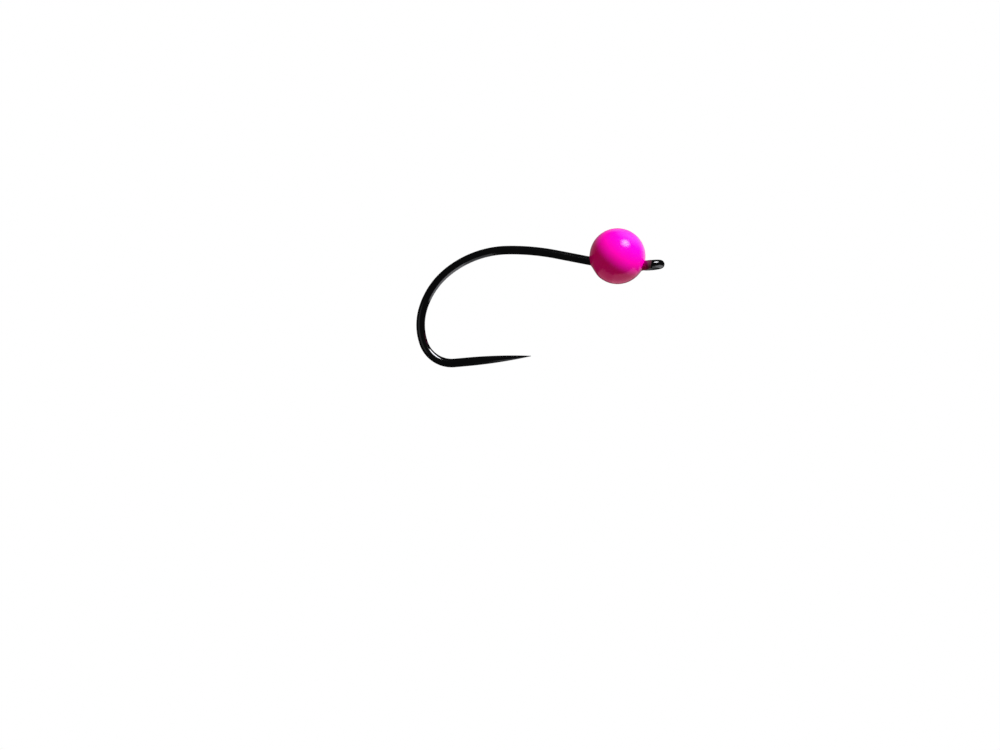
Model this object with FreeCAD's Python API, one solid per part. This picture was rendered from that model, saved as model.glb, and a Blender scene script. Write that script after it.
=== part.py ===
"""A jig head: a heavy painted ball bonded onto a barbless wire hook.

Lengths are millimetres and angles are degrees. The origin is the centre of the hook's eye. +X points out of
the eye's nose, away from the bend, +Z runs along the hole of the eye, and the hook lies in the XZ plane with its
point below the shank. Each piece is written as one STEP file in parts/.
"""

import FreeCAD
import Part
import math
import os

Vector = FreeCAD.Vector

# hook wire
WIRE_RADIUS = 0.305

# eye: a ring of the hook's own wire, joined to the shank by a neck that swings out to one side
EYE_RING_RADIUS = 0.59
EYE_NECK_RADIUS = 0.60
EYE_HOLE_RADIUS = 0.295
EYE_END_ANGLE = 158.0

# shank, from the eye to the bend
FRONT_LENGTH = 1.72
JIG_BEND_RADIUS = 2.0
JIG_BEND_TURN = 16.3
SHANK_LENGTH = 4.70

# the curve from the shank to the heel tightens in tangent arcs: (radius, turn)
CURVE_ARCS = ((16.9, 12.0), (7.0, 39.0), (5.4, 34.2), (4.05, 35.2))
HEEL_RADIUS = 2.14

# point, parallel to X
POINT_STRAIGHT_LENGTH = 0.92
POINT_TAPER_LENGTH = 4.6
POINT_TIP_RADIUS = 0.02

# ball
BALL_X = -2.42
BALL_Z = 0.87
BEAD_RADIUS = 1.90
BASE_COAT_THICKNESS = 0.045
COLOUR_COAT_THICKNESS = 0.07
SLOT_CLEARANCE = 0.075

FORWARD = Vector(1, 0, 0)
BACKWARD = Vector(-1, 0, 0)
SIDE = Vector(0, 1, 0)
UP = Vector(0, 0, 1)
BALL_CENTRE = Vector(BALL_X, 0, BALL_Z)
BASE_COAT_RADIUS = BEAD_RADIUS + BASE_COAT_THICKNESS
BALL_RADIUS = BASE_COAT_RADIUS + COLOUR_COAT_THICKNESS
SLOT_HALF_WIDTH = WIRE_RADIUS + SLOT_CLEARANCE
NECK_START = Vector(-math.sqrt(EYE_RING_RADIUS**2 + 2 * EYE_NECK_RADIUS * EYE_RING_RADIUS), 0, 0)


def disc(place, direction, radius):
    """A round face across the wire."""
    return Part.Face(Part.Wire(Part.Circle(place, direction, radius).toShape()))


def straight(place, direction, length, radius):
    """A straight stretch of round wire and the place where it ends."""
    run = direction * length
    return disc(place, direction, radius).extrude(run), place + run


def bend(place, direction, axis, bend_radius, turn, radius):
    """A bent stretch of round wire, turning about the axis, and the place and direction where it ends."""
    centre = place + axis.cross(direction) * bend_radius
    rotation = FreeCAD.Rotation(axis, turn)
    solid = disc(place, direction, radius).revolve(centre, axis, turn)
    return solid, centre + rotation.multVec(place - centre), rotation.multVec(direction)


def fused(solids):
    """One solid from stretches that meet end to end."""
    whole = solids[0].multiFuse(solids[1:]).removeSplitter()
    return whole.Solids[0]


def ball(radius):
    """A full ball about the bead's centre."""
    return Part.makeSphere(radius, BALL_CENTRE)


def eye_stretches():
    """The neck and the ring of the eye, with the small gap that its cut end leaves."""
    neck_turn = math.degrees(math.acos(EYE_NECK_RADIUS / (EYE_NECK_RADIUS + EYE_RING_RADIUS)))
    ring_turn = 360.0 + EYE_END_ANGLE - (270.0 - neck_turn)
    neck, place, direction = bend(NECK_START, FORWARD, UP * -1, EYE_NECK_RADIUS, neck_turn, WIRE_RADIUS)
    ring = bend(place, direction, UP, EYE_RING_RADIUS, ring_turn, WIRE_RADIUS)[0]
    return [neck, ring]


def shank_stretches(radius):
    """The wire from the neck of the eye to the end of the straight shank, and its place and direction there."""
    front, place = straight(NECK_START, BACKWARD, FRONT_LENGTH + NECK_START.x, radius)
    kink, place, direction = bend(place, BACKWARD, SIDE, JIG_BEND_RADIUS, JIG_BEND_TURN, radius)
    shank, place = straight(place, direction, SHANK_LENGTH, radius)
    return [front, kink, shank], place, direction


def point_taper(place):
    """The needle point: a slim ogive that leaves the wire tangentially and ends almost sharp."""
    drop = WIRE_RADIUS - POINT_TIP_RADIUS
    ogive_radius = (POINT_TAPER_LENGTH**2 + drop**2) / (2 * drop)
    middle = POINT_TAPER_LENGTH / 2
    middle_radius = WIRE_RADIUS - ogive_radius + math.sqrt(ogive_radius**2 - middle**2)
    base = place + UP * WIRE_RADIUS
    shoulder = place + FORWARD * middle + UP * middle_radius
    tip = place + FORWARD * POINT_TAPER_LENGTH
    tip_edge = tip + UP * POINT_TIP_RADIUS
    edges = [
        Part.LineSegment(place, base).toShape(),
        Part.Arc(base, shoulder, tip_edge).toShape(),
        Part.LineSegment(tip_edge, tip).toShape(),
        Part.LineSegment(tip, place).toShape(),
    ]
    return Part.Face(Part.Wire(edges)).revolve(place, FORWARD, 360)


def make_hook():
    """The whole hook, one piece of wire from the cut end of the eye to the point."""
    stretches, place, direction = shank_stretches(WIRE_RADIUS)
    turn_left = 180.0 + JIG_BEND_TURN
    for radius, turn in CURVE_ARCS:
        arc, place, direction = bend(place, direction, SIDE * -1, radius, turn, WIRE_RADIUS)
        stretches.append(arc)
        turn_left -= turn
    heel, place, direction = bend(place, direction, SIDE * -1, HEEL_RADIUS, turn_left, WIRE_RADIUS)
    shaft, place = straight(place, FORWARD, POINT_STRAIGHT_LENGTH, WIRE_RADIUS)
    wire = fused(eye_stretches() + stretches + [heel, shaft, point_taper(place)])
    land = Part.makeCylinder(EYE_HOLE_RADIUS, 2 * WIRE_RADIUS, UP * -WIRE_RADIUS, UP)
    return wire.cut(land).Solids[0]


def open_side():
    """The space under the wire's centre line, down past the ball: the way in for the wire."""
    kink_start = Vector(-FRONT_LENGTH, 0, 0)
    kink_centre = kink_start + UP * JIG_BEND_RADIUS
    half_turn = FreeCAD.Rotation(SIDE, JIG_BEND_TURN / 2)
    kink_middle = kink_centre + half_turn.multVec(kink_start - kink_centre)
    kink_end = kink_centre + half_turn.multVec(kink_middle - kink_centre)
    behind = kink_end + half_turn.multVec(half_turn.multVec(BACKWARD)) * SHANK_LENGTH
    floor = UP * (BALL_Z - 2 * BALL_RADIUS)
    back_corner = Vector(behind.x, 0, floor.z)
    edges = [
        Part.LineSegment(Vector(), kink_start).toShape(),
        Part.Arc(kink_start, kink_middle, kink_end).toShape(),
        Part.LineSegment(kink_end, behind).toShape(),
        Part.LineSegment(behind, back_corner).toShape(),
        Part.LineSegment(back_corner, floor).toShape(),
        Part.LineSegment(floor, Vector()).toShape(),
    ]
    face = Part.Face(Part.Wire(edges)).translated(SIDE * -SLOT_HALF_WIDTH)
    return face.extrude(SIDE * 2 * SLOT_HALF_WIDTH)


def slot_space():
    """The slot: round at its floor, open towards the point, and widened in front for the back of the eye."""
    neck_end = straight(NECK_START, FORWARD, -NECK_START.x, SLOT_HALF_WIDTH)[0]
    groove = fused(shank_stretches(SLOT_HALF_WIDTH)[0] + [neck_end])
    depth = BALL_RADIUS - BALL_Z
    pocket_radius = EYE_RING_RADIUS + SLOT_HALF_WIDTH
    pocket = Part.makeCylinder(pocket_radius, SLOT_HALF_WIDTH + depth, UP * -depth, UP)
    return groove.fuse(open_side()).fuse(pocket)


def coat(inner_radius, outer_radius, hook):
    """One layer of paint over the filled bead, with the hook passing through it."""
    return ball(outer_radius).cut(ball(inner_radius)).cut(hook).Solids[0]


def make_parts():
    """Every piece by its name."""
    hook = make_hook()
    slot = slot_space()
    return {
        "hook": hook,
        "bead_core": ball(BEAD_RADIUS).cut(slot).Solids[0],
        "slot_filler": ball(BEAD_RADIUS).common(slot).cut(hook).Solids[0],
        "base_coat": coat(BEAD_RADIUS, BASE_COAT_RADIUS, hook),
        "colour_coat": coat(BASE_COAT_RADIUS, BALL_RADIUS, hook),
    }


def main():
    os.makedirs("parts", exist_ok=True)
    for name, shape in make_parts().items():
        shape.exportStep(f"parts/{name}.step")


main()
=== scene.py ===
import bmesh
import bpy
import math
from mathutils import Matrix, Vector, kdtree, noise


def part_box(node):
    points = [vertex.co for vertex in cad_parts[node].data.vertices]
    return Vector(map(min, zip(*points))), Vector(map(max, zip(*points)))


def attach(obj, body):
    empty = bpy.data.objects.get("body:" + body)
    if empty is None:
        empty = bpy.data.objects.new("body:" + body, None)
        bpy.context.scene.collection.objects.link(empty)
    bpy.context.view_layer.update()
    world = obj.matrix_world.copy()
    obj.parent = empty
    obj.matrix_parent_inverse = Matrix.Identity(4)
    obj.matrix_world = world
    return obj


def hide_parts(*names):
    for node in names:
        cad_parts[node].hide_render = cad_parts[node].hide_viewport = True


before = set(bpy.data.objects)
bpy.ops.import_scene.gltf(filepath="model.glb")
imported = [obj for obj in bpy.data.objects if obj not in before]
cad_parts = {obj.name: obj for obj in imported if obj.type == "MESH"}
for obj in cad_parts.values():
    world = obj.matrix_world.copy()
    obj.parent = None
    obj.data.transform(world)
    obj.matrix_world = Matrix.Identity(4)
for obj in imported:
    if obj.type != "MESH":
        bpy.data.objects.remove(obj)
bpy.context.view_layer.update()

# A jig head: a painted ball weight on a black-nickel wire hook. Metres and degrees, in the row frame:
# the origin is the centre of the hook's eye, +X points out of the eye's nose and +Z runs along its hole.

MM = 0.001

# ---------------------------------------------------------------- sizes of the hook's wire
STEEL_RADIUS = 0.305 * MM
PLATE_THICKNESS = 0.007 * MM
WIRE_RADIUS = STEEL_RADIUS + PLATE_THICKNESS
RING_RADIUS = 0.59 * MM
NECK_RADIUS = 0.60 * MM
HOLE_RADIUS = 0.295 * MM
RING_END_ANGLE = 158.0
FRONT_LENGTH = 1.72 * MM
JIG_BEND_RADIUS = 2.0 * MM
JIG_BEND_TURN = 16.3
SHANK_LENGTH = 4.70 * MM
CURVE_ARCS = ((16.9 * MM, 12.0), (7.0 * MM, 39.0), (5.4 * MM, 34.2), (4.05 * MM, 35.2))
HEEL_RADIUS = 2.14 * MM
POINT_STRAIGHT = 0.92 * MM
POINT_TAPER = 4.6 * MM
TIP_RADIUS = 0.02 * MM

WIRE_SIDES = 64
WIRE_SHARP_ANGLE = 50
EYE_STEP = 0.025 * MM
SHANK_STEP = 0.06 * MM
TIP_STEP = 0.03 * MM
END_BEVEL = 0.03 * MM

# ---------------------------------------------------------------- sizes of the paint
BALL_SHARP_ANGLE = 40
OUTSIDE_SUBDIVISIONS = 7
INSIDE_SUBDIVISIONS = 6
COAT_THICKNESS = 0.07 * MM
MENISCUS_HEIGHT = 0.030 * MM
MENISCUS_REACH = 0.07 * MM
MENISCUS_CURVE = 1.4
SLOT_SINK_WIDTH = 0.42 * MM
SLOT_SINK_DEPTH = 0.045 * MM
SLOT_SINK_SPREAD = 9.0
SLOT_SINK_ANGLE = 207.0
PEEL_HEIGHT = 0.0004 * MM
PEEL_SIZE = 0.55 * MM
SWELL_HEIGHT = 0.003 * MM
SWELL_SIZE = 1.9 * MM

# paint that ran out along the neck: a full film, then a thin smear, each ending on its own slant
FILM_EDGE = -0.328 * MM
FILM_SLANT = -0.206
FILM_THICKNESS = 0.030 * MM
SMEAR_EDGE = -0.10 * MM
SMEAR_SLANT = 0.24
SMEAR_THICKNESS = 0.010 * MM
FILM_FADE = 0.05 * MM
# how far the neck film's painted reflection of the ball runs either side of the film's edge
FILM_PAINTED_REFLECTION_REACH = 0.3 * MM
NECK_END = 0.1 * MM
NECK_SIDE = -0.0001 * MM

# ---------------------------------------------------------------- the view
VIEW_ELEVATION = -4.5
VIEW_ROLL = 5.2
FRAME_WIDTH = 72.07 * MM
EYE_RIGHT_OF_AXIS = 10.96 * MM
EYE_ABOVE_AXIS = 7.92 * MM
LENS_MM = 135.0
SENSOR_MM = 36.0

# ---------------------------------------------------------------- the studio
# Directions are (right, up, back) as the camera sees them, and lengths are metres.
WHITE = (1, 1, 1)
FILL_COLOUR = (0.29, 0.20, 0.12)
GLOSS_COLOUR = (0.02, 0.02, 0.02)
FLOOR_DEPTH = 0.16
FLOOR_REACH = 0.8
PANEL_SIDES = 48
BALL_FLOOR_DEPTH = 0.12
HOOK_FLOOR_DEPTH = 0.13

# suns, which light only what is matt: name, direction, strength, colour and width in degrees
SUNS = (
    ("key", (0.55, 0.71, 0.44), 4.7, (1.18, 1.12, 1.47), 12),
    ("back_light", (-0.15, 0.22, -0.96), 2.0, (1.10, 1.05, 1.35), 8),
)

# round panels: name, direction, distance, width, height, brightness and whether the rim is soft
BALL_PANELS = (
    ("key_panel", (0.452, 0.778, 0.436), 0.30, 0.22, 0.20, 14.5, True),
    ("sheen_panel", (0.52, 0.82, -0.30), 0.31, 0.42, 0.46, 0.9, True),
    ("rim_panel", (0.6, 0.1, -0.8), 0.32, 0.46, 0.50, 0.9, True),
    ("left_rim_panel", (-0.6, 0.3, -0.75), 0.325, 0.46, 0.46, 0.22, True),
    ("top_rim_panel", (0.05, 0.68, -0.73), 0.305, 0.22, 0.20, 0.65, True),
    ("backdrop_panel", (0.0, 0.15, -1.0), 0.33, 0.60, 0.60, 0.2, True),
)
HOOK_PANELS = (
    ("hook_key", (0.50, 0.78, 0.46), 0.34, 0.24, 0.12, 8.5, False),
    ("hook_left", (-0.75, 0.0, 0.65), 0.35, 0.25, 0.28, 0.08, False),
)

# level panels below the ball: name, then left, right, rear and front edges in depths, colour and brightness
BALL_FLOORS = (
    ("ball_floor_left", (-1.2, -0.2, -2.0, 0.05), (0.78, 0.28, 0.38), 1.0),
    ("ball_floor_right", (-0.2, 1.4, -2.0, 0.14), (1.1, 0.47, 0.60), 1.0),
)
HOOK_FLOORS = (
    ("hook_floor", (0.5, 2.6, -1.9, 0.7), WHITE, 0.75),
    ("hook_floor_dim", (0.12, 0.5, -1.9, 0.7), WHITE, 0.28),
)

X = Vector((1, 0, 0))
Y = Vector((0, 1, 0))
Z = Vector((0, 0, 1))

ball_low, ball_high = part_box("colour_coat")
CENTRE = (ball_low + ball_high) / 2
BALL_RADIUS = (ball_high.z - ball_low.z) / 2


# ---------------------------------------------------------------- the hook's wire
class Walk:
    """A walk along the wire's centre line that leaves a station every few hundredths of a millimetre."""

    def __init__(self, place, direction):
        self.place = place
        self.direction = direction
        self.stations = [(place.copy(), direction.copy())]

    def straight(self, length, step):
        count = max(1, round(length / step))
        start = self.place.copy()
        for i in range(1, count + 1):
            self.place = start + self.direction * (length * i / count)
            self.stations.append((self.place.copy(), self.direction.copy()))

    def bend(self, axis, radius, turn, step):
        centre = self.place + axis.cross(self.direction) * radius
        arm, heading = self.place - centre, self.direction.copy()
        count = max(1, round(radius * math.radians(turn) / step))
        for i in range(1, count + 1):
            spin = Matrix.Rotation(math.radians(turn) * i / count, 3, axis)
            self.place = centre + spin @ arm
            self.direction = spin @ heading
            self.stations.append((self.place.copy(), self.direction.copy()))


def hook_walk():
    """The wire from the cut end of the eye, along the shank and round the bend to the point."""
    end = math.radians(RING_END_ANGLE)
    neck_turn = math.degrees(math.acos(NECK_RADIUS / (NECK_RADIUS + RING_RADIUS)))
    ring_turn = 360.0 + RING_END_ANGLE - (270.0 - neck_turn)
    neck_reach = math.sqrt(RING_RADIUS**2 + 2 * NECK_RADIUS * RING_RADIUS)
    start = Vector((math.cos(end), math.sin(end), 0)) * RING_RADIUS
    walk = Walk(start, Vector((math.sin(end), -math.cos(end), 0)))
    walk.bend(-Z, RING_RADIUS, ring_turn, EYE_STEP)
    walk.bend(Z, NECK_RADIUS, neck_turn, EYE_STEP)
    walk.straight(FRONT_LENGTH - neck_reach, SHANK_STEP)
    walk.bend(Y, JIG_BEND_RADIUS, JIG_BEND_TURN, SHANK_STEP)
    walk.straight(SHANK_LENGTH, SHANK_STEP)
    turn_left = 180.0 + JIG_BEND_TURN
    for radius, turn in CURVE_ARCS:
        walk.bend(-Y, radius, turn, SHANK_STEP)
        turn_left -= turn
    walk.bend(-Y, HEEL_RADIUS, turn_left, SHANK_STEP)
    walk.straight(POINT_STRAIGHT, SHANK_STEP)
    walk.straight(POINT_TAPER, TIP_STEP)
    return walk.stations


def sweep(name, stations, surface):
    """A closed tube along the stations.

    surface gives each point from its station, its outward way and the lengths of wire before and after it.
    """
    lengths = [0.0]
    for (a, _), (b, _) in zip(stations, stations[1:]):
        lengths.append(lengths[-1] + (b - a).length)
    bm = bmesh.new()
    uv = bm.loops.layers.uv.new("wire_uv")
    side = Z.copy()
    rings = []
    for (place, direction), along in zip(stations, lengths):
        side = (side - direction * side.dot(direction)).normalized()
        across = direction.cross(side)
        ring = []
        for k in range(WIRE_SIDES):
            angle = 2 * math.pi * k / WIRE_SIDES
            out = side * math.cos(angle) + across * math.sin(angle)
            ring.append(bm.verts.new(surface(place, out, along, lengths[-1] - along)))
        rings.append(ring)
    for i, (ring, following) in enumerate(zip(rings, rings[1:])):
        for k in range(WIRE_SIDES):
            n = (k + 1) % WIRE_SIDES
            face = bm.faces.new((ring[k], ring[n], following[n], following[k]))
            corners = ((i, k), (i, k + 1), (i + 1, k + 1), (i + 1, k))
            for loop, (row, column) in zip(face.loops, corners):
                loop[uv].uv = (lengths[row] / MM, column / WIRE_SIDES)
    for ring in (rings[0], rings[-1]):
        centre = bm.verts.new(sum((v.co for v in ring), Vector()) / WIRE_SIDES)
        for k in range(WIRE_SIDES):
            bm.faces.new((centre, ring[k], ring[(k + 1) % WIRE_SIDES]))
    return finished(bm, name, WIRE_SHARP_ANGLE)


def finished(bm, name, sharp_angle):
    """A new object from a bmesh, smooth but for its sharp edges."""
    bmesh.ops.recalc_face_normals(bm, faces=bm.faces)
    mesh = bpy.data.meshes.new(name)
    bm.to_mesh(mesh)
    bm.free()
    smooth(mesh, sharp_angle)
    return placed(name, mesh)


def smooth(mesh, sharp_angle):
    mesh.shade_smooth()
    mesh.set_sharp_from_angle(angle=math.radians(sharp_angle))


def placed(name, data):
    """A new object in the scene from a mesh, a lamp or a camera."""
    thing = bpy.data.objects.new(name, data)
    bpy.context.scene.collection.objects.link(thing)
    return thing


def hook_surface(place, out, from_start, to_tip):
    """Round wire with a bevelled cut end, a slim needle point, and the eye's hole worn to its bore."""
    radius = WIRE_RADIUS
    if to_tip < POINT_TAPER:
        drop = WIRE_RADIUS - TIP_RADIUS
        ogive = (POINT_TAPER**2 + drop**2) / (2 * drop)
        radius = WIRE_RADIUS - ogive + math.sqrt(ogive**2 - (POINT_TAPER - to_tip) ** 2)
    if from_start < END_BEVEL:
        rest = 1 - from_start / END_BEVEL
        radius -= END_BEVEL * (1 - math.sqrt(1 - rest**2))
    point = place + out * radius
    flat = Vector((point.x, point.y, 0))
    if flat.length < HOLE_RADIUS:
        point += flat.normalized() * (HOLE_RADIUS - flat.length)
    return point


# ---------------------------------------------------------------- the ball's paint
def wire_tree(stations):
    tree = kdtree.KDTree(len(stations))
    for i, (place, _) in enumerate(stations):
        tree.insert(place, i)
    tree.balance()
    return tree


def paint_level(point, tree):
    """How far the paint stands out of, or sinks into, the true ball at a point on it."""
    gap = max(0.0, tree.find(point)[2] - WIRE_RADIUS)
    rise = MENISCUS_HEIGHT * math.exp(-((gap / MENISCUS_REACH) ** MENISCUS_CURVE))
    arm = point - CENTRE
    angle = math.degrees(math.atan2(arm.z, arm.x)) % 360
    across = math.exp(-((arm.y / SLOT_SINK_WIDTH) ** 2))
    sink = SLOT_SINK_DEPTH * math.exp(-(((angle - SLOT_SINK_ANGLE) / SLOT_SINK_SPREAD) ** 2))
    peel = noise.noise(arm / PEEL_SIZE) * PEEL_HEIGHT
    swell = noise.noise(arm / SWELL_SIZE) * SWELL_HEIGHT
    return rise - sink * across + peel + swell


def make_ball(stations, hook):
    """The glossy coat: a thin shell whose outside climbs a little up the wire where the wire goes in."""
    tree = wire_tree(stations)
    bm = bmesh.new()
    bmesh.ops.create_icosphere(bm, subdivisions=OUTSIDE_SUBDIVISIONS, radius=BALL_RADIUS)
    for vert in bm.verts:
        outward = vert.co.normalized()
        point = CENTRE + vert.co
        vert.co = point + outward * paint_level(point, tree)
    ball = finished(bm, "painted_ball", BALL_SHARP_ANGLE)
    hollow = bmesh.new()
    inside_radius = BALL_RADIUS - COAT_THICKNESS
    bmesh.ops.create_icosphere(hollow, subdivisions=INSIDE_SUBDIVISIONS, radius=inside_radius)
    for vert in hollow.verts:
        vert.co += CENTRE
    inside = finished(hollow, "inside_of_coat", BALL_SHARP_ANGLE)
    for cutter in (inside, hook):
        cut(ball, cutter)
    bpy.data.objects.remove(inside)
    smooth(ball.data, BALL_SHARP_ANGLE)
    return ball


def cut(piece, cutter):
    """Takes the cutter's space out of the piece, and keeps the result as the piece's own mesh."""
    boolean = piece.modifiers.new("cut", "BOOLEAN")
    boolean.operation = "DIFFERENCE"
    boolean.solver = "MANIFOLD"
    boolean.object = cutter
    graph = bpy.context.evaluated_depsgraph_get()
    mesh = bpy.data.meshes.new_from_object(piece.evaluated_get(graph))
    piece.modifiers.remove(boolean)
    old = piece.data
    piece.data = mesh
    mesh.name = piece.name
    bpy.data.meshes.remove(old)


def film_surface(place, out, from_start, to_end):
    """The run of paint on the neck: it dips into the wire where it ends."""
    point = place + out * WIRE_RADIUS
    film = step_down(point.x - FILM_EDGE - FILM_SLANT * point.z)
    smear = step_down(point.x - SMEAR_EDGE - SMEAR_SLANT * point.z)
    thickness = SMEAR_THICKNESS * (2 * smear - 1) + (FILM_THICKNESS - SMEAR_THICKNESS) * film
    return point + out * thickness


def step_down(beyond):
    """1 well before an edge and 0 well beyond it, with a soft step between."""
    t = min(1.0, max(0.0, 0.5 - beyond / FILM_FADE))
    return t * t * (3 - 2 * t)


def make_neck_paint(stations):
    """The neck's film, swept along the neck and the part of the ring that leads into it."""
    neck = [s for s in stations if s[0].y < NECK_SIDE and s[0].x < NECK_END]
    return sweep("neck_paint", neck, film_surface)


# ---------------------------------------------------------------- materials
def new_material(name):
    material = bpy.data.materials.new(name)
    material.use_nodes = True
    tree = material.node_tree
    return material, tree.nodes, tree.links, tree.nodes["Principled BSDF"]


def noise_on(nodes, links, source, scale, detail, roughness=0.5):
    """A noise pattern in the space that the source gives. In the piece's own space, scale is per metre."""
    node = nodes.new("ShaderNodeTexNoise")
    node.inputs["Scale"].default_value = scale
    node.inputs["Detail"].default_value = detail
    node.inputs["Roughness"].default_value = roughness
    links.new(source, node.inputs["Vector"])
    return node.outputs["Fac"]


def ramp(nodes, links, source, *stops):
    """A colour ramp on a source socket. Each stop is a place and then a grey or a colour."""
    node = nodes.new("ShaderNodeValToRGB")
    elements = node.color_ramp.elements
    while len(elements) < len(stops):
        elements.new(0.5)
    for element, (place, value) in zip(elements, stops):
        element.position = place
        element.color = (*value, 1) if isinstance(value, tuple) else (value, value, value, 1)
    links.new(source, node.inputs["Fac"])
    return node.outputs["Color"]


def bump(nodes, links, height, strength, distance, under=None):
    """A normal that follows a height pattern, on top of the normal under it."""
    node = nodes.new("ShaderNodeBump")
    node.inputs["Strength"].default_value = strength
    node.inputs["Distance"].default_value = distance
    links.new(height, node.inputs["Height"])
    if under:
        links.new(under, node.inputs["Normal"])
    return node.outputs["Normal"]


def object_space(nodes):
    """The piece's own coordinates, in metres."""
    return nodes.new("ShaderNodeTexCoord").outputs["Object"]


def black_nickel():
    """Mirror-bright black nickel over drawn wire: faint lines along the wire, soft clouds and small pits."""
    material, nodes, links, shader = new_material("black_nickel")
    shader.inputs["Metallic"].default_value = 1.0
    along = nodes.new("ShaderNodeUVMap")
    along.uv_map = "wire_uv"
    stretch = nodes.new("ShaderNodeMapping")
    stretch.inputs["Scale"].default_value = (0.35, 26.0, 1.0)
    links.new(along.outputs["UV"], stretch.inputs["Vector"])
    lines = noise_on(nodes, links, stretch.outputs["Vector"], scale=2.0, detail=4.0, roughness=0.6)
    place = object_space(nodes)
    clouds = noise_on(nodes, links, place, scale=900.0, detail=5.0)
    tint = ramp(nodes, links, clouds, (0.3, (0.135, 0.138, 0.150)), (0.7, (0.175, 0.172, 0.178)))
    links.new(tint, shader.inputs["Base Color"])
    links.new(ramp(nodes, links, lines, (0.3, 0.08), (0.75, 0.15)), shader.inputs["Roughness"])
    pits = nodes.new("ShaderNodeTexVoronoi")
    pits.inputs["Scale"].default_value = 9000.0
    links.new(place, pits.inputs["Vector"])
    dots = ramp(nodes, links, pits.outputs["Distance"], (0.0, 0.0), (0.12, 1.0))
    grain = bump(nodes, links, lines, strength=0.05, distance=0.004 * MM)
    surface = bump(nodes, links, dots, strength=0.04, distance=0.003 * MM, under=grain)
    links.new(surface, shader.inputs["Normal"])
    return material


def fluorescent_enamel():
    """Glossy fluorescent magenta: a saturated coat with the slight mottle and orange peel of dipped paint."""
    material, nodes, links, shader = new_material("fluorescent_enamel")
    place = object_space(nodes)
    mottle = noise_on(nodes, links, place, scale=1400.0, detail=4.0)
    colour = ramp(nodes, links, mottle, (0.3, (1.0, 0.0, 0.43)), (0.7, (0.97, 0.0, 0.47)))
    links.new(colour, shader.inputs["Base Color"])
    links.new(ramp(nodes, links, mottle, (0.25, 0.13), (0.75, 0.19)), shader.inputs["Roughness"])
    peel = noise_on(nodes, links, place, scale=1500.0, detail=1.0, roughness=0.4)
    links.new(bump(nodes, links, peel, strength=0.05, distance=0.004 * MM), shader.inputs["Normal"])
    return material


def thin_paint_with_painted_reflection():
    """Enamel lying thin over black wire, its colour mixing thin paint with a painted reflection of the ball:
    magenta near the ball darkening outward, then a dull mauve smear.
    """
    material, nodes, links, shader = new_material("thin_enamel_painted_reflection")
    place = object_space(nodes)
    parts = nodes.new("ShaderNodeSeparateXYZ")
    links.new(place, parts.inputs["Vector"])
    slant = nodes.new("ShaderNodeMath")
    slant.operation = "MULTIPLY_ADD"
    slant.inputs[1].default_value = -FILM_SLANT
    links.new(parts.outputs["Z"], slant.inputs[0])
    links.new(parts.outputs["X"], slant.inputs[2])
    along = nodes.new("ShaderNodeMapRange")
    along.inputs["From Min"].default_value = FILM_EDGE - FILM_PAINTED_REFLECTION_REACH
    along.inputs["From Max"].default_value = FILM_EDGE + FILM_PAINTED_REFLECTION_REACH
    links.new(slant.outputs["Value"], along.inputs["Value"])
    # painted reflection of the ball over the thin paint: magenta near the ball, darker further out, then
    # mauve on the smear
    stops = ((0.10, (0.30, 0.0, 0.13)), (0.30, (0.17, 0.0, 0.075)), (0.46, (0.12, 0.002, 0.05)),
             (0.54, (0.10, 0.036, 0.050)), (0.80, (0.075, 0.030, 0.036)))
    links.new(ramp(nodes, links, along.outputs["Result"], *stops), shader.inputs["Base Color"])
    streaks = noise_on(nodes, links, place, scale=5000.0, detail=4.0)
    links.new(ramp(nodes, links, streaks, (0.3, 0.22), (0.7, 0.40)), shader.inputs["Roughness"])
    links.new(bump(nodes, links, streaks, strength=0.25, distance=0.003 * MM), shader.inputs["Normal"])
    return material


def grained(name, dark, light, roughness, scale, metallic=0.0):
    """A surface with a fine two-tone grain, for the pieces inside the paint."""
    material, nodes, links, shader = new_material(name)
    shader.inputs["Metallic"].default_value = metallic
    grain = noise_on(nodes, links, object_space(nodes), scale, detail=8.0, roughness=0.65)
    smoothest, roughest = roughness
    links.new(ramp(nodes, links, grain, (0.3, dark), (0.7, light)), shader.inputs["Base Color"])
    links.new(ramp(nodes, links, grain, (0.3, smoothest), (0.7, roughest)), shader.inputs["Roughness"])
    links.new(bump(nodes, links, grain, strength=0.3, distance=0.004 * MM), shader.inputs["Normal"])
    return material


def wear(piece, material):
    piece.data.materials.clear()
    piece.data.materials.append(material)


# ---------------------------------------------------------------- camera
def camera_axes():
    """The camera's right, up and back directions."""
    tilt = math.radians(VIEW_ELEVATION)
    roll = math.radians(VIEW_ROLL)
    back = Vector((0, -math.cos(tilt), math.sin(tilt)))
    level_up = Vector((0, math.sin(tilt), math.cos(tilt)))
    right = X * math.cos(roll) - level_up * math.sin(roll)
    up = X * math.sin(roll) + level_up * math.cos(roll)
    return right, up, back


RIGHT, UP, BACK = camera_axes()


def make_camera():
    lens = bpy.data.cameras.new("camera")
    lens.lens = LENS_MM
    lens.sensor_width = SENSOR_MM
    lens.clip_start = 0.01
    lens.clip_end = 5.0
    camera = placed("camera", lens)
    distance = FRAME_WIDTH * LENS_MM / SENSOR_MM
    middle = -RIGHT * EYE_RIGHT_OF_AXIS - UP * EYE_ABOVE_AXIS
    turn = Matrix((RIGHT, UP, BACK)).transposed().to_4x4()
    camera.matrix_world = Matrix.Translation(middle + BACK * distance) @ turn
    bpy.context.scene.camera = camera


# ---------------------------------------------------------------- studio
def seen(right, up, back):
    """A direction given as the camera sees it."""
    return RIGHT * right + UP * up + BACK * back


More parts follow.
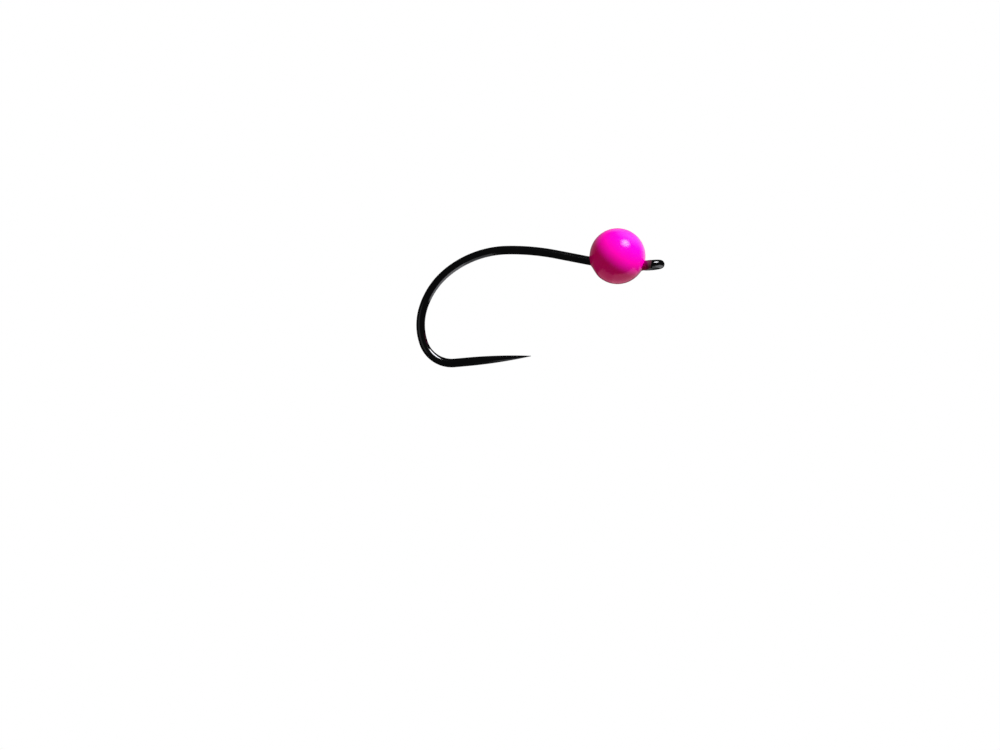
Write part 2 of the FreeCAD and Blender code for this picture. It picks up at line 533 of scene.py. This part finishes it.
def glow(name, colour, strength, soft=False, clear=True):
    """A light-giving surface. A soft one fades out at the rim of a unit disc; a clear one hides nothing."""
    material = bpy.data.materials.new(name)
    material.use_nodes = True
    nodes, links = material.node_tree.nodes, material.node_tree.links
    nodes.clear()
    light = nodes.new("ShaderNodeEmission")
    light.inputs["Color"].default_value = (*colour, 1)
    light.inputs["Strength"].default_value = strength
    if soft:
        fade = nodes.new("ShaderNodeTexGradient")
        fade.gradient_type = "SPHERICAL"
        links.new(object_space(nodes), fade.inputs["Vector"])
        level = nodes.new("ShaderNodeMath")
        level.operation = "MULTIPLY"
        level.inputs[1].default_value = strength
        links.new(fade.outputs["Fac"], level.inputs[0])
        links.new(level.outputs["Value"], light.inputs["Strength"])
    surface = light.outputs["Emission"]
    if clear:
        both = nodes.new("ShaderNodeAddShader")
        links.new(surface, both.inputs[0])
        links.new(nodes.new("ShaderNodeBsdfTransparent").outputs["BSDF"], both.inputs[1])
        surface = both.outputs["Shader"]
    output = nodes.new("ShaderNodeOutputMaterial")
    links.new(surface, output.inputs["Surface"])
    return material


def plate(name, corners, material):
    """A single flat face that belongs to the studio, not to the object."""
    mesh = bpy.data.meshes.new(name)
    mesh.from_pydata(corners, [], [range(len(corners))])
    thing = placed(name, mesh)
    wear(thing, material)
    thing.visible_diffuse = False
    return thing


def panel(name, corners, material, lights):
    """A flat light panel that shows only in the gloss of the pieces it lights."""
    thing = plate(name, corners, material)
    thing.visible_camera = False
    thing.visible_shadow = False
    receivers = bpy.data.collections.new(name)
    for piece in lights:
        receivers.objects.link(piece)
    thing.light_linking.receiver_collection = receivers
    return thing


def facing_panel(name, direction, distance, width, height, strength, soft, lights):
    """A round panel that faces the ball. Its own space runs from -1 to 1 across and up."""
    angles = [math.tau * k / PANEL_SIDES for k in range(PANEL_SIDES)]
    corners = [(math.cos(a), math.sin(a), 0) for a in angles]
    thing = panel(name, corners, glow(name, WHITE, strength, soft), lights)
    way = seen(*direction)
    turn = way.to_track_quat("Z", "Y").to_matrix().to_4x4()
    size = Matrix.Diagonal((width / 2, height / 2, 1, 1))
    thing.matrix_world = Matrix.Translation(CENTRE + way.normalized() * distance) @ turn @ size


def floor_panel(name, edges, colour, strength, depth, lights):
    """A level panel below the ball. Its edges are given in depths below the ball, as the camera sees them."""
    left, right, rear, front = edges
    ends = ((left, rear), (right, rear), (right, front), (left, front))
    corners = [CENTRE + seen(x, -1, z) * depth for x, z in ends]
    panel(name, corners, glow(name, colour, strength), lights)


def sun(name, direction, strength, colour, width):
    light = bpy.data.lights.new(name, "SUN")
    light.energy = strength
    light.color = colour
    light.angle = math.radians(width)
    lamp = placed(name, light)
    lamp.matrix_world = seen(*direction).to_track_quat("Z", "Y").to_matrix().to_4x4()
    lamp.visible_glossy = False


def make_world():
    """White behind the object, dim warm light all round it, and near-black in its gloss."""
    world = bpy.data.worlds.new("studio")
    bpy.context.scene.world = world
    world.use_nodes = True
    world.cycles.sampling_method = "NONE"
    nodes, links = world.node_tree.nodes, world.node_tree.links
    nodes.clear()
    rays = nodes.new("ShaderNodeLightPath")
    backgrounds = []
    for colour in (FILL_COLOUR, GLOSS_COLOUR, WHITE):
        background = nodes.new("ShaderNodeBackground")
        background.inputs["Color"].default_value = (*colour, 1)
        backgrounds.append(background.outputs["Background"])
    shader = backgrounds[0]
    for ray, background in (("Is Glossy Ray", backgrounds[1]), ("Is Camera Ray", backgrounds[2])):
        mix = nodes.new("ShaderNodeMixShader")
        links.new(rays.outputs[ray], mix.inputs["Fac"])
        links.new(shader, mix.inputs[1])
        links.new(background, mix.inputs[2])
        shader = mix.outputs["Shader"]
    output = nodes.new("ShaderNodeOutputWorld")
    links.new(shader, output.inputs["Surface"])


def make_floor():
    """A plain pale floor, far enough below to stay out of the way of low views."""
    ends = ((-1, -1), (1, -1), (1, 1), (-1, 1))
    corners = [(x * FLOOR_REACH, y * FLOOR_REACH, -FLOOR_DEPTH) for x, y in ends]
    floor = plate("floor", corners, glow("pale_floor", WHITE, 1.0, clear=False))
    floor.visible_glossy = False


def make_lights(hook, ball, film):
    for row in SUNS:
        sun(*row)
    for row in BALL_PANELS:
        facing_panel(*row, [ball])
    for row in BALL_FLOORS:
        floor_panel(*row, BALL_FLOOR_DEPTH, [ball])
    for row in HOOK_PANELS:
        facing_panel(*row, [hook])
    for row in HOOK_FLOORS:
        floor_panel(*row, HOOK_FLOOR_DEPTH, [hook, film])


# ---------------------------------------------------------------- the build
stations = hook_walk()
hook = sweep("hook_wire", stations, hook_surface)
ball = make_ball(stations, hook)
film = make_neck_paint(stations)

wear(hook, black_nickel())
wear(ball, fluorescent_enamel())
wear(film, thin_paint_with_painted_reflection())
tungsten = grained("sintered_tungsten", (0.14, 0.14, 0.145), (0.30, 0.30, 0.30), (0.4, 0.6), 9000.0, 1.0)
resin = grained("cured_resin", (0.62, 0.55, 0.42), (0.72, 0.66, 0.55), (0.15, 0.3), 3000.0)
undercoat = grained("white_undercoat", (0.86, 0.86, 0.84), (0.93, 0.93, 0.92), (0.6, 0.8), 6000.0)
for node, material in (("bead_core", tungsten), ("slot_filler", resin), ("base_coat", undercoat)):
    wear(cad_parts[node], material)

for piece in (hook, ball, film):
    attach(piece, "root")
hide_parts("hook")
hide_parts("colour_coat")

make_camera()
make_world()
make_floor()
make_lights(hook, ball, film)

bpy.context.scene.view_settings.view_transform = "Standard"
